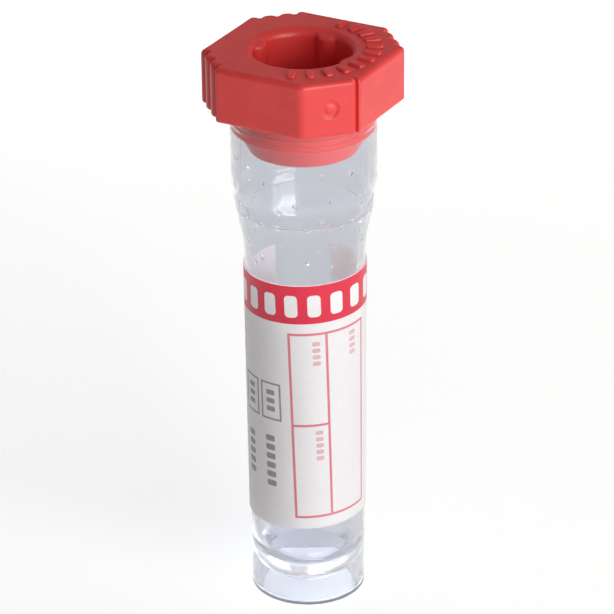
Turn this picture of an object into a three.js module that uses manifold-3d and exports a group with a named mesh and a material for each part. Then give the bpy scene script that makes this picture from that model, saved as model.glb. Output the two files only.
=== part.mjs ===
// Small capillary blood collection tube: a clear skirted tube, a red plug cap and a wrapped label.
// Units are millimetres and +Z is up. The origin is on the tube's axis, in the plane of its foot.

import * as THREE from 'three';
import { mergeVertices } from 'three/addons/utils/BufferGeometryUtils.js';
import Module from 'manifold-3d';

const wasm = await Module();
wasm.setup();

// Tube, outside
const bodyFootRadius = 4.38;
const bodyTopRadius = 4.57;
const bodyHeight = 28.3;          // foot to the start of the neck
const neckHeight = 5.65;          // start of the neck to the foot of the collar
const neckEase = 1.7;             // height over which the neck leaves the line of the body
const shoulderDrop = 1.5;         // foot of the collar down to the shoulder, where the slope eases
const shoulderInset = 0.285;      // collar radius less shoulder radius
const shoulderEase = 1.05;        // height below the shoulder over which the slope eases
const shoulderSlope = 0.18;       // radius gained for each millimetre of height there
const collarRadius = 5.49;
const collarHeight = 7.91;        // foot of the collar to the rim
const collarStep = 0.14;          // radius gained at the foot of the collar
const collarStepHeight = 0.95;
const rimRounding = 0.2;
const footBead = 0.05;            // how far the bead round the foot stands proud
const footBeadHeight = 0.3;

// Tube, inside
const collarWall = 0.7;
const bodyWall = 0.6;
const skirtWall = 0.8;
const bottomThickness = 0.8;      // wall of the round bottom
const domeClearance = 0.6;        // table to the lowest point of the round bottom
const ledgeDrop = 1.6;            // foot of the collar down to the ledge inside the neck
const ledgeFunnel = 1.9;          // height of the funnel from the collar's bore to the ledge
const ledgeWidth = 0.12;
const ledgeInset = 0.44;          // radius of the ledge's inner edge less that of the body's bore
const neckLead = 0.6;             // start of the neck up to where the bore widens

// Cap, head
const headWall = 0.94;            // wall outside the rim's groove, at the middle of a flat
const headHeight = 4.24;
const headEdge = 0.3;             // bevel round the top and the foot of the head
const cornerReach = 0.5;          // how much further out the cut corners are than the flats
const cornerRounding = 0.4;
const rimDepth = 1.15;            // how deep the rim goes into the head
const ribCount = 4;
const ribPitch = 1.4;
const ribWidth = 1.04;
const ribHeight = 0.34;           // floor of the valleys to the crest of the ribs
const ribProud = 0.17;            // how far the crests stand outside the cut corner
const slotWidth = 0.42;           // single slot at the anticlockwise end of the smooth corner
const slotDepth = 0.35;
const slotLand = 0.08;
const dimpleRadius = 0.75;        // moulding mark on the smooth corner
const dimpleDepth = 0.12;

// Cap, plug and well
const plugLength = 3.58;          // foot of the head to the end of the plug
const plugTaper = 0.62;           // radius lost over the lead-in at the plug's end
const plugTaperLength = 1.5;
const plugRounding = 0.3;
const plugWall = 0.56;            // wall of the plug at its end
const beadProud = 0.09;           // sealing beads round the plug
const beadHeight = 0.4;
const beadDrops = [0.8, 1.3, 1.8]; // foot of the head down to each bead
const floorThickness = 0.85;
const wellDraft = 0.2;            // radius gained from the well's floor to its mouth
const wellRounding = 0.78;
const lugWidth = 1.9;
const lugReach = 0.5;             // how far each lug reaches in from the well's wall
const lugDrop = 0.25;             // top of the head down to the lugs

// Cap, raised index marks round the well
const markCount = 12;
const markStart = 290;            // degrees, first mark
const markSweep = 155;            // degrees, first mark to last
const markLength = 1.2;
const markWidth = 0.5;
const markProud = 0.14;

// Label
const labelThickness = 0.1;
const labelDrop = 0.57;           // start of the neck down to the label's upper edge, at its middle
const labelHeight = 20.8;
const labelFront = 299;           // degrees, the way the printed front faces
const labelGap = 62;              // degrees left bare at the back
const labelSkew = 1.6;            // degrees by which the label is wound askew

// Clearances
const plugClearance = 0.05;       // sealing beads to the collar's bore
const rimClearance = 0.12;        // rim to the side of its groove
const seatClearance = 0.05;       // rim to the end of its groove
const labelClearance = 0.02;      // body to the label, where the glue is

const facets = 64;                // sides of every round section
const overcut = 1;                // how far a cutter runs past the face that it opens
const embed = 0.2;                // how far an added piece is carried into what it stands on

// Sizes that follow
const collarFoot = bodyHeight + neckHeight;
const rimTop = collarFoot + collarHeight;
const collarBore = collarRadius - collarWall;
const boreTopRadius = bodyTopRadius - bodyWall;
const boreFootRadius = bodyFootRadius - bodyWall;
const grooveTop = rimTop + seatClearance;
const headFoot = grooveTop - rimDepth;
const headTop = headFoot + headHeight;
const flatReach = collarRadius + rimClearance + headWall;
const cutReach = flatReach + cornerReach;
const crestReach = cutReach + ribProud;
const plugRadius = collarBore - plugClearance - beadProud;
const plugFoot = headFoot - plugLength;
const wellFloor = plugFoot + floorThickness;
const wellFloorRadius = plugRadius - plugTaper - plugWall;
const wellRadius = wellFloorRadius + wellDraft;
const labelFoot = bodyHeight - labelDrop - labelHeight;

const { degToRad, lerp } = THREE.MathUtils;

// A closed solid from a three.js geometry, by joining the vertices that lie together.
function toSolid(geometry) {
  const bare = geometry.clone();
  bare.deleteAttribute('normal');
  bare.deleteAttribute('uv');
  const joined = mergeVertices(bare, 1e-4);
  const corners = joined.index.array;
  const triangles = [];
  for (let i = 0; i < corners.length; i += 3) {
    const [a, b, c] = corners.slice(i, i + 3);
    if (a !== b && b !== c && c !== a) triangles.push(a, b, c);
  }
  return new wasm.Manifold(new wasm.Mesh({
    numProp: 3,
    vertProperties: new Float32Array(joined.attributes.position.array),
    triVerts: new Uint32Array(triangles),
  }));
}

function toMesh(name, solid, colour, roughness, extra = {}) {
  const { vertProperties, triVerts } = solid.getMesh();
  const geometry = new THREE.BufferGeometry();
  geometry.setAttribute('position', new THREE.BufferAttribute(vertProperties, 3));
  geometry.setIndex(new THREE.BufferAttribute(triVerts, 1));
  geometry.computeVertexNormals();
  const material = new THREE.MeshStandardMaterial({ color: colour, roughness, metalness: 0, ...extra });
  const mesh = new THREE.Mesh(geometry, material);
  mesh.name = name;
  return mesh;
}

// An outline of (radius, height) points turned round the Z axis.
function turn(points) {
  return toSolid(new THREE.LatheGeometry(points, facets).rotateX(Math.PI / 2));
}

// A shape raised along Z from the height of its foot, with both its rims bevelled.
function raise(shape, foot, height, bevel = 0) {
  const geometry = new THREE.ExtrudeGeometry(shape, {
    depth: height - 2 * bevel,
    curveSegments: facets / 4,
    bevelEnabled: bevel > 0,
    bevelThickness: bevel,
    bevelSize: bevel,
    bevelOffset: -bevel,
    bevelSegments: 2,
  });
  return toSolid(geometry.translate(0, 0, foot + bevel));
}

// Points of an arc round a point on the axis, angles in degrees from the horizontal.
function arc(height, radius, from, to, steps) {
  return Array.from({ length: steps + 1 }, (_, i) => {
    const angle = degToRad(lerp(from, to, i / steps));
    return new THREE.Vector2(Math.abs(radius * Math.cos(angle)), height + radius * Math.sin(angle));
  });
}

function bodyRadiusAt(height) {
  return lerp(bodyFootRadius, bodyTopRadius, height / bodyHeight);
}

function makeTube() {
  const skirtBore = bodyFootRadius - skirtWall;
  const domeRadius = boreFootRadius + bottomThickness;
  const domeCentre = domeClearance + domeRadius;
  const domeEdge = THREE.MathUtils.radToDeg(Math.acos(skirtBore / domeRadius));
  const shoulderRadius = collarRadius - shoulderInset;
  const shoulder = collarFoot - shoulderDrop;
  const ledge = collarFoot - ledgeDrop;
  const ledgeRadius = boreTopRadius + ledgeInset;
  const neckBore = bodyHeight + neckLead;
  const beadRadius = bodyFootRadius + footBead;

  const outside = new THREE.Path();
  outside.moveTo(bodyFootRadius - footBead, 0);
  outside.quadraticCurveTo(beadRadius, 0, beadRadius, footBeadHeight / 2);
  outside.lineTo(bodyRadiusAt(2 * footBeadHeight), 2 * footBeadHeight);
  outside.lineTo(bodyTopRadius, bodyHeight);
  outside.bezierCurveTo(
    bodyTopRadius,
    bodyHeight + neckEase,
    shoulderRadius - shoulderEase * shoulderSlope,
    shoulder - shoulderEase,
    shoulderRadius,
    shoulder,
  );
  outside.lineTo(collarRadius - collarStep, collarFoot);
  outside.quadraticCurveTo(
    collarRadius,
    collarFoot + collarStepHeight / 2,
    collarRadius,
    collarFoot + collarStepHeight,
  );
  outside.lineTo(collarRadius, rimTop - rimRounding);
  outside.quadraticCurveTo(collarRadius, rimTop, collarRadius - rimRounding, rimTop);

  const inside = new THREE.Path();
  inside.moveTo(collarBore + rimRounding, rimTop);
  inside.quadraticCurveTo(collarBore, rimTop, collarBore, rimTop - rimRounding);
  inside.lineTo(collarBore, ledge + ledgeFunnel);
  inside.quadraticCurveTo(
    collarBore,
    ledge + ledgeFunnel / 2,
    ledgeRadius + ledgeWidth,
    ledge + ledgeWidth,
  );
  inside.lineTo(ledgeRadius, ledge);
  inside.bezierCurveTo(
    ledgeRadius,
    lerp(ledge, neckBore, 0.25),
    boreTopRadius,
    lerp(neckBore, ledge, 0.35),
    boreTopRadius,
    neckBore,
  );

  return turn([
    ...arc(domeCentre, domeRadius, -90, -domeEdge, 6),
    new THREE.Vector2(skirtBore, 0),
    ...outside.getPoints(5),
    ...inside.getPoints(3),
    ...arc(domeCentre, boreFootRadius, 0, -90, 9),
  ]);
}

// A point beside a cut corner: across is measured along its edge, anticlockwise, and out from the axis.
function cornerPoint(corner, across, out) {
  const point = new THREE.Vector2(out, across);
  return point.rotateAround(new THREE.Vector2(), Math.PI / 4 + corner * Math.PI / 2);
}

// Half the width of a cut corner whose edge lies at this distance from the axis.
function halfEdge(out) {
  return Math.SQRT2 * flatReach - out;
}

// Ribs across a cut corner. The end ribs run into the flats, and nothing stands outside those.
function ribbedCorner(corner) {
  const valley = crestReach - ribHeight;
  const held = (across, out) => cornerPoint(corner, across, Math.min(out, halfEdge(Math.abs(across))));
  const end = Math.max(halfEdge(valley), ribCount * ribPitch / 2);
  const points = [held(-end, valley)];
  for (let rib = 0; rib < ribCount; rib += 1) {
    const middle = (rib - (ribCount - 1) / 2) * ribPitch;
    for (const degrees of [-90, -50, -18, 18, 50, 90]) {
      const angle = degToRad(degrees);
      const across = middle + Math.sin(angle) * ribWidth / 2;
      points.push(held(across, valley + Math.cos(angle) * ribHeight));
    }
  }
  points.push(held(end, valley));
  return points;
}

function smoothCorner(corner) {
  const start = -halfEdge(cutReach);
  const slotEnd = halfEdge(cutReach) - slotLand;
  const slotStart = slotEnd - slotWidth;
  const slotFloor = cutReach - slotDepth;
  const draft = slotWidth / 10;
  const diagonal = cornerRounding / Math.SQRT2;
  const rounding = new THREE.QuadraticBezierCurve(
    cornerPoint(corner, start - diagonal, cutReach - diagonal),
    cornerPoint(corner, start, cutReach),
    cornerPoint(corner, start + cornerRounding, cutReach),
  );
  return [
    ...rounding.getPoints(4),
    cornerPoint(corner, slotStart, cutReach),
    cornerPoint(corner, slotStart + draft, slotFloor),
    cornerPoint(corner, slotEnd - draft, slotFloor),
    cornerPoint(corner, slotEnd, cutReach - slotLand),
    cornerPoint(corner, halfEdge(cutReach - slotLand), cutReach - slotLand),
  ];
}

// The head: ribs, slot and dimple, held inside a bevelled block with cut corners.
function makeHead() {
  const outline = [...ribbedCorner(0), ...ribbedCorner(1), ...ribbedCorner(2), ...smoothCorner(3)];
  const block = [0, 1, 2, 3].flatMap((corner) => [-1, 1].map(
    (end) => cornerPoint(corner, end * halfEdge(crestReach), crestReach),
  ));
  const dimple = new THREE.CylinderGeometry(dimpleRadius, dimpleRadius, 2 * dimpleDepth, facets / 2);
  dimple.translate(0, cutReach, 0).rotateZ(-3 * Math.PI / 4);
  dimple.translate(0, 0, headFoot + headHeight / 2);
  return raise(new THREE.Shape(outline), headFoot, headHeight)
    .intersect(raise(new THREE.Shape(block), headFoot, headHeight, headEdge))
    .subtract(toSolid(dimple));
}

// The groove that the tube's rim goes into, cut right across because the plug fills its middle.
function makeGroove() {
  const shape = new THREE.Shape().absarc(0, 0, collarRadius + rimClearance, 0, 2 * Math.PI);
  return raise(shape, headFoot - overcut, rimDepth + overcut);
}

function makePlug() {
  const endRadius = plugRadius - plugTaper;
  const outline = new THREE.Path();
  outline.moveTo(0, plugFoot);
  outline.lineTo(endRadius - plugRounding, plugFoot);
  outline.quadraticCurveTo(endRadius, plugFoot, endRadius, plugFoot + plugRounding);
  outline.lineTo(plugRadius, plugFoot + plugTaperLength);
  for (const drop of [...beadDrops].reverse()) {
    const middle = headFoot - drop;
    outline.lineTo(plugRadius, middle - beadHeight / 2);
    outline.lineTo(plugRadius + beadProud, middle);
    outline.lineTo(plugRadius, middle + beadHeight / 2);
  }
  outline.lineTo(plugRadius, grooveTop + embed);
  outline.lineTo(0, grooveTop + embed);
  return turn(outline.getPoints(3));
}

function makeWell() {
  const outline = new THREE.Path();
  outline.moveTo(0, wellFloor);
  outline.lineTo(wellFloorRadius, wellFloor);
  outline.lineTo(wellRadius, headTop - wellRounding);
  outline.quadraticCurveTo(wellRadius, headTop, wellRadius + wellRounding, headTop);
  outline.lineTo(wellRadius + wellRounding, headTop + overcut);
  outline.lineTo(0, headTop + overcut);
  return turn(outline.getPoints(4));
}

// One upright lug on the well's wall, facing the given flat of the head.
function makeLug(side) {
  const angle = side * Math.PI / 2;
  const middle = wellRadius - lugReach + lugWidth / 2;
  const x = middle * Math.cos(angle);
  const y = middle * Math.sin(angle);
  const shape = new THREE.Shape().absarc(x, y, lugWidth / 2, 0, 2 * Math.PI);
  return raise(shape, wellFloor - embed, headTop - lugDrop - wellFloor + embed);
}

function makeMark(index) {
  const radius = (wellRadius + wellRounding + flatReach - headEdge) / 2;
  const mark = new THREE.BoxGeometry(markLength, markWidth, markProud + embed);
  mark.translate(radius, 0, headTop + (markProud - embed) / 2);
  mark.rotateZ(degToRad(markStart + markSweep * index / (markCount - 1)));
  return toSolid(mark);
}

function makeCap() {
  const solidCap = makeHead().subtract(makeGroove()).add(makePlug());
  let cap = solidCap.subtract(makeWell());
  for (let side = 0; side < 4; side += 1) {
    cap = cap.add(makeLug(side).intersect(solidCap));
  }
  for (let index = 0; index < markCount; index += 1) {
    cap = cap.add(makeMark(index));
  }
  return cap;
}

function makeLabel() {
  const foot = labelFoot - overcut;
  const top = labelFoot + labelHeight + overcut;
  const inner = labelClearance;
  const outer = labelClearance + labelThickness;
  const section = [[inner, foot], [outer, foot], [outer, top], [inner, top], [inner, foot]];
  const sleeve = turn(section.map(([gap, height]) => new THREE.Vector2(bodyRadiusAt(height) + gap, height)));

  // What is kept of the sleeve: everything between the two edges but a wedge at the back.
  const reach = 2 * collarRadius;
  const half = degToRad(labelGap / 2);
  const wedge = new THREE.Shape([
    new THREE.Vector2(0, 0),
    new THREE.Vector2(-reach * Math.cos(half), reach * Math.sin(half)),
    new THREE.Vector2(-reach * Math.cos(half), -reach * Math.sin(half)),
  ]);
  const square = new THREE.BoxGeometry(2 * reach, 2 * reach, labelHeight);
  const kept = toSolid(square)
    .subtract(raise(wedge, -labelHeight, 2 * labelHeight))
    .rotate([labelSkew, 0, 0])
    .rotate([0, 0, labelFront])
    .translate([0, 0, labelFoot + labelHeight / 2]);
  return sleeve.intersect(kept);
}

const tube = new THREE.Group();
tube.add(toMesh('tube', makeTube(), 0xdfe6ee, 0.12, { transparent: true, opacity: 0.4 }));
tube.add(toMesh('label', makeLabel(), 0xf1ece8, 0.6));

const cap = new THREE.Group();
cap.add(toMesh('cap', makeCap(), 0xd8282c, 0.4));

const part = new THREE.Group();
part.add(tube, cap);

export default part;
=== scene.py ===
"""Dresses a small capillary blood collection tube: a clear skirted tube, a red plug cap with a
well and raised index marks, and a wrapped label with a printed form.

Every size is in metres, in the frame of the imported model, with +Z up along the tube.
"""

from math import acos, atan2, cos, hypot, pi, radians, sin, sqrt

import bpy
from bpy.props import FloatProperty, FloatVectorProperty, IntProperty, PointerProperty
from mathutils import Matrix, Vector


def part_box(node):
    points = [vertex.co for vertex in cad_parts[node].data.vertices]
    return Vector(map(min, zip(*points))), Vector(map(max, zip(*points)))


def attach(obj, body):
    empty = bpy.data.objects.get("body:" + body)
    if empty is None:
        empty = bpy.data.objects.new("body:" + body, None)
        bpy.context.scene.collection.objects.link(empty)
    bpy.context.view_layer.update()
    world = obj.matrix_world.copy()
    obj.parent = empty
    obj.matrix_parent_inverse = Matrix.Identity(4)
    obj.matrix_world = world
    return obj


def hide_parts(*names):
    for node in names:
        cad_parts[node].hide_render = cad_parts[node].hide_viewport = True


bl_info = {
    "name": "Blood Collection Tube",
    "version": (1, 0, 0),
    "blender": (4, 5, 0),
    "location": "3D Viewport > Sidebar > Collection Tube",
    "description": "Builds a small blood collection tube, its cap and label, and its studio",
    "category": "Object",
}

MM = 0.001

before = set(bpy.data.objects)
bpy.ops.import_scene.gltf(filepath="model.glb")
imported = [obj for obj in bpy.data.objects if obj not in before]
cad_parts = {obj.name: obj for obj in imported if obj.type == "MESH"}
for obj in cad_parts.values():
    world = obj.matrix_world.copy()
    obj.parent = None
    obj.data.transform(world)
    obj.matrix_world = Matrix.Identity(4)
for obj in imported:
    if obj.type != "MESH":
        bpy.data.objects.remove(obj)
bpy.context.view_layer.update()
TUBE_LOW, TUBE_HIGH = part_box("tube")
CAP_LOW, CAP_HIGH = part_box("cap")


# ----- Sizes, colours and finishes that a user would change -----


def length(description, default):
    """A length property whose default is in metres."""
    return FloatProperty(
        description=description, default=default, min=0.0, unit="LENGTH", precision=5
    )


def angle(description, degrees):
    return FloatProperty(description=description, default=radians(degrees), subtype="ANGLE")


def colour(description, default):
    return FloatVectorProperty(
        description=description, default=default, size=3, min=0.0, max=1.0, subtype="COLOR"
    )


def share(description, default):
    return FloatProperty(
        description=description, default=default, min=0.0, max=1.0, subtype="FACTOR"
    )


def number(description, default):
    return FloatProperty(description=description, default=default)


def count(description, default, least=1):
    return IntProperty(description=description, default=default, min=least)


def named(settings):
    """Names each property of a settings class after its own identifier."""
    for key, entry in settings.__annotations__.items():
        entry.keywords["name"] = key.replace("_", " ").capitalize()
    return settings


@named
class TubeSettings(bpy.types.PropertyGroup):
    """The clear tube: body, neck, collar, round bottom and skirt."""

    rim_height: length("Table to the tube's rim", TUBE_HIGH.z)
    collar_radius: length("Outside of the wide collar", TUBE_HIGH.x)
    collar_height: length("Foot of the collar to the rim", 7.91 * MM)
    collar_wall: length("Wall of the collar", 0.7 * MM)
    collar_step: length("Radius gained at the foot of the collar", 0.14 * MM)
    collar_step_height: length("Height over which the collar gains its step", 0.95 * MM)
    rim_rounding: length("Rounding of the rim's two edges", 0.2 * MM)
    body_height: length("Table to the start of the neck", 28.3 * MM)
    body_foot_radius: length("Outside of the body at the table", 4.38 * MM)
    body_top_radius: length("Outside of the body where the neck starts", 4.57 * MM)
    body_wall: length("Wall of the body", 0.6 * MM)
    neck_ease: length("Height over which the neck leaves the line of the body", 1.7 * MM)
    shoulder_drop: length("Foot of the collar down to the shoulder", 1.5 * MM)
    shoulder_inset: length("Collar radius less shoulder radius", 0.285 * MM)
    shoulder_ease: length("Height below the shoulder over which its slope eases", 1.05 * MM)
    shoulder_slope: number("Radius gained per height there", 0.18)
    ledge_drop: length("Foot of the collar down to the ledge inside the neck", 1.6 * MM)
    ledge_funnel: length("Height of the funnel from the bore to the ledge", 1.9 * MM)
    ledge_width: length("Width of the ledge", 0.12 * MM)
    ledge_inset: length("Ledge's inner radius less the body's bore", 0.44 * MM)
    neck_lead: length("Start of the neck up to where the bore widens", 0.6 * MM)
    skirt_wall: length("Wall of the skirt at the table", 0.8 * MM)
    bottom_thickness: length("Wall of the round bottom", 0.8 * MM)
    dome_clearance: length("Table to the lowest point of the round bottom", 0.6 * MM)
    foot_bead: length("How far the bead round the foot stands proud", 0.05 * MM)
    foot_bead_height: length("Height of that bead", 0.3 * MM)
    sides: count("Facets round the tube", 192, least=24)
    tint: colour("Light that a wall lets through", (0.88, 0.9, 0.945))
    cloud: share("Share of light that the plastic scatters", 0.025)
    roughness: share("Roughness of the moulded surface", 0.05)
    speck_spacing: length("Speck to speck, on average", 1.55 * MM)
    speck_radius: length("Radius of the largest specks", 0.28 * MM)
    speck_depth: length("Depth of the largest specks", 0.12 * MM)


@named
class CapSettings(bpy.types.PropertyGroup):
    """The red cap: a square head with cut corners, a well from above and a plug below."""

    flat_reach: length("Axis to the flats of the head", CAP_HIGH.x)
    mark_proud: length("How far the index marks stand above the head", 0.14 * MM)
    mark_crown: length("How far their tops are rounded up beyond that", 0.07 * MM)
    head_height: length("Foot of the head to its top", 4.24 * MM)
    top_rounding: length("Rounding round the top of the head", 0.4 * MM)
    foot_rounding: length("Rounding round the foot of the head", 0.2 * MM)
    corner_reach: length("How much further out the cut corners are than the flats", 0.5 * MM)
    corner_rounding: length("Rounding of the smooth corner's plain end", 0.4 * MM)
    rib_count: count("Ribs on each ribbed corner", 4)
    rib_pitch: length("Rib to rib", 1.4 * MM)
    rib_width: length("Width of a rib", 1.04 * MM)
    rib_height: length("Valley floor to crest", 0.34 * MM)
    rib_proud: length("How far the crests stand outside the cut corner", 0.17 * MM)
    slot_width: length("Slot at one end of the smooth corner", 0.42 * MM)
    slot_depth: length("Depth of that slot", 0.35 * MM)
    slot_land: length("Land between the slot and the flat", 0.08 * MM)
    dimple_radius: length("Moulding mark on the smooth corner", 0.75 * MM)
    dimple_depth: length("Depth of the moulding mark", 0.12 * MM)
    rim_depth: length("How deep the tube's rim goes into the head", 1.15 * MM)
    rim_clearance: length("Rim to the side of its groove", 0.12 * MM)
    plug_radius: length("Sealing part of the plug, pressed against the bore", 4.8 * MM)
    plug_taper: length("Radius lost over the lead-in", 0.8 * MM)
    plug_taper_length: length("Length of the lead-in", 1.55 * MM)
    plug_rounding: length("Rounding of the plug's end", 0.3 * MM)
    plug_wall: length("Wall of the plug at its end", 0.56 * MM)
    seal_height: length("Height of one sealing bead", 0.48 * MM)
    seal_depth: length("Depth of the grooves between the sealing beads", 0.13 * MM)
    groove_width: length("Width of the grooves between the sealing beads", 0.14 * MM)
    floor_thickness: length("Floor of the well", 0.85 * MM)
    well_draft: length("Radius gained from the well's floor to its mouth", 0.2 * MM)
    well_rounding: length("Rounding of the well's mouth", 0.78 * MM)
    lug_width: length("Width of the upright lugs in the well", 1.9 * MM)
    lug_reach: length("How far the lugs reach in from the wall", 0.5 * MM)
    lug_drop: length("Top of the head down to the lugs", 0.25 * MM)
    mark_count: count("Raised index marks round the well", 12)
    mark_start: angle("Where the index marks start", 290)
    mark_sweep: angle("First mark to last", 155)
    mark_length: length("Length of an index mark", 1.3 * MM)
    mark_width: length("Width of an index mark", 0.6 * MM)
    red: colour("Colour of the plastic", (0.76, 0.052, 0.05))
    deep_red: colour("Colour of the plastic where it is thick", (0.72, 0.046, 0.043))
    roughness: share("Roughness of the moulded surface", 0.36)


@named
class LabelSettings(bpy.types.PropertyGroup):
    """The label: a paper sleeve with a gap at the back, a red header and a printed form."""

    thickness: length("Thickness of the paper above the tube", 0.12 * MM)
    bond: length("How far the glue lets the paper sink into the plastic", 0.006 * MM)
    drop: length("Start of the neck down to the label's upper edge", 0.57 * MM)
    height: length("Height of the label", 20.8 * MM)
    front: angle("The way the printed front faces", 299)
    gap: angle("What is left bare at the back", 62)
    skew: angle("How far the label is wound askew", 1.6)
    header: length("Height of the red band", 3.15 * MM)
    line: length("Width of the form's lines", 0.2 * MM)
    sheer: length("How far light spreads in the paper", 0.6 * MM)
    # Painted light: the print is copied faintly onto the back of the paper in place of the light
    # that shines through the printed front.
    painted_through_light: share("How much of the header shows on the back of the paper", 0.16)
    paper: colour("Colour of the paper", (0.87, 0.805, 0.79))
    red_ink: colour("Colour of the header", (0.62, 0.01, 0.036))
    line_ink: colour("Colour of the form's lines", (0.66, 0.17, 0.22))
    grey_ink: colour("Colour of the overprint", (0.12, 0.13, 0.14))


@named
class StudioSettings(bpy.types.PropertyGroup):
    """Floor, soft lamps, background and camera."""

    camera_azimuth: angle("Where the camera stands", 299)
    camera_distance: length("Tube to camera along the floor", 242.7 * MM)
    camera_height: length("Floor to camera", 143.5 * MM)
    camera_tilt: angle("How far the camera looks down", 26.264)
    camera_turn: angle("Turn to the right away from the tube's axis", 0.026)
    camera_roll: angle("Roll of the camera", -0.63)
    lens: number("Focal length in millimetres on a 36 mm sensor", 208.5)
    key_power: number("Power of the key lamp in watts", 1.37)
    back_power: number("Power of the back lamp in watts", 0.62)
    rim_power: number("Power of the two lamps behind in watts", 0.31)
    front_power: number("Power of the low front lamp in watts", 0.1)
    top_power: number("Power of the top lamp in watts", 0.22)
    fill: number("Light from all round", 0.2)
    floor: colour("Colour of the floor", (0.9, 0.9, 0.9))


# ----- Outlines and meshes -----


def lerp(start, end, part):
    return start + (end - start) * part


def smooth_step(low, high, value):
    part = min(max((value - low) / (high - low), 0.0), 1.0)
    return part * part * (3 - 2 * part)


def line(start, end, steps):
    """Points from start to end, without the first."""
    return [start.lerp(end, i / steps) for i in range(1, steps + 1)]


def curve(points, steps):
    """Points of a Bezier curve of any degree, without the first."""
    result = []
    for i in range(1, steps + 1):
        row = list(points)
        while len(row) > 1:
            row = [a.lerp(b, i / steps) for a, b in zip(row, row[1:])]
        result.append(row[0])
    return result


def arc(centre, radius, start, end, steps):
    """Points of an arc round a centre, with both ends, angles in radians."""
    turns = [lerp(start, end, i / steps) for i in range(steps + 1)]
    return [centre + radius * Vector((cos(turn), sin(turn))) for turn in turns]


def rounded(points, radius, steps=4):
    """A polyline whose inner vertices are rounded off, as far as their edges allow."""
    result = [points[0]]
    for before, point, after in zip(points, points[1:], points[2:]):
        back, ahead = before - point, after - point
        reach = min(radius, back.length * 0.48, ahead.length * 0.48)
        start = point + back.normalized() * reach
        end = point + ahead.normalized() * reach
        result += [start, *curve([start, point, end], steps)]
    return [*result, points[-1]]


def ring(radius, height, turns):
    """One ring of points round the Z axis. The radius is a number or a function of the turn."""
    radii = [radius(turn) for turn in turns] if callable(radius) else [radius] * len(turns)
    return [(r * cos(turn), r * sin(turn), height) for r, turn in zip(radii, turns)]


def wall_faces(rows, count, base=0):
    """The quads between closed rings of points, ring by ring from the point numbered base."""
    faces = []
    for row in range(rows - 1):
        low = base + row * count
        high = low + count
        for i in range(count):
            j = (i + 1) % count
            faces.append((low + i, low + j, high + j, high + i))
    return faces


def skin(name, rings, first_pole, last_pole):
    """A closed mesh through rings of equal length, ending in a point on the axis at each end."""
    count = len(rings[0])
    points = [point for row in rings for point in row]
    faces = wall_faces(len(rings), count)
    first, last = len(points), len(points) + 1
    points += [(0.0, 0.0, first_pole), (0.0, 0.0, last_pole)]
    end = (len(rings) - 1) * count
    for i in range(count):
        j = (i + 1) % count
        faces.append((first, j, i))
        faces.append((last, end + i, end + j))
    return new_mesh(name, points, faces)


def new_mesh(name, points, faces):
    mesh = bpy.data.meshes.new(name)
    mesh.from_pydata(points, [], faces)
    return mesh


SHARP = radians(32)  # an edge sharper than this stays sharp


def add_piece(name, mesh, material, body, node=None):
    """Puts a piece in the scene, with its material, its body and the CAD node that it replaces."""
    mesh.validate()
    mesh.shade_smooth()
    mesh.set_sharp_from_angle(angle=SHARP)
    mesh.materials.append(material)
    piece = bpy.data.objects.new(name, mesh)
    bpy.context.scene.collection.objects.link(piece)
    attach(piece, body)
    if node:
        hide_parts(node)


# ----- Materials -----


def new_group(name, inputs, outputs):
    """An empty shader node group with named sockets, as (group, input node, output node)."""
    group = bpy.data.node_groups.new(name, "ShaderNodeTree")
    for label, kind, default in inputs:
        socket = group.interface.new_socket(name=label, in_out="INPUT", socket_type=kind)
        if default is not None:
            socket.default_value = default
    for label, kind in outputs:
        group.interface.new_socket(name=label, in_out="OUTPUT", socket_type=kind)
    return group, group.nodes.new("NodeGroupInput"), group.nodes.new("NodeGroupOutput")


def set_inputs(tree, node, inputs):
    """Fills a node's inputs, each from a socket or a plain value."""
    for key, value in inputs.items():
        if isinstance(value, bpy.types.NodeSocket):
            tree.links.new(value, node.inputs[key])
        else:
            node.inputs[key].default_value = value


def add_node(tree, kind, inputs=None, **settings):
    """A shader node with its settings made and its inputs filled."""
    node = tree.nodes.new("ShaderNode" + kind)
    for name, value in settings.items():
        setattr(node, name, value)
    set_inputs(tree, node, inputs or {})
    return node


def math_node(tree, operation, *values, clamp=False):
    inputs = dict(enumerate(values))
    return add_node(tree, "Math", inputs, operation=operation, use_clamp=clamp).outputs[0]


def map_range(tree, value, from_low, from_high, to_low, to_high, smooth=False):
    inputs = dict(enumerate((value, from_low, from_high, to_low, to_high)))
    kind = "SMOOTHSTEP" if smooth else "LINEAR"
    return add_node(tree, "MapRange", inputs, interpolation_type=kind).outputs["Result"]


def opaque(value):
    """A colour for an input that takes an alpha too. A socket stays as it is."""
    return value if isinstance(value, bpy.types.NodeSocket) else (*value, 1.0)


def mix_colour(tree, factor, first, second):
    inputs = {0: factor, 6: opaque(first), 7: opaque(second)}
    return add_node(tree, "Mix", inputs, data_type="RGBA").outputs[2]


def noise(tree, coordinates, scale, detail, roughness=0.5):
    inputs = {"Vector": coordinates, "Scale": scale, "Detail": detail, "Roughness": roughness}
    return add_node(tree, "TexNoise", inputs).outputs["Fac"]


def separate(tree, vector):
    return add_node(tree, "SeparateXYZ", {0: vector}).outputs


def object_coordinates(tree):
    return add_node(tree, "TexCoord").outputs["Object"]


def add_bump(tree, shader, height, distance):
    bump = add_node(tree, "Bump", {"Distance": distance, "Height": height})
    tree.links.new(bump.outputs["Normal"], shader.inputs["Normal"])


def place_group(tree, name, build, **inputs):
    """Places a shared node group, built when first asked for, and returns its outputs."""
    group = bpy.data.node_groups.get(name) or build()
    return add_node(tree, "Group", inputs, node_tree=group).outputs


def new_material(name):
    """A material with one Principled shader, as (material, tree, shader)."""
    material = bpy.data.materials.new(name)
    material.use_nodes = True
    tree = material.node_tree
    return material, tree, tree.nodes["Principled BSDF"]


# Noise scales, per metre.
WAVES, GRAIN, CLOUDS, FIBRES = 220, 3800, 420, 2600

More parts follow.
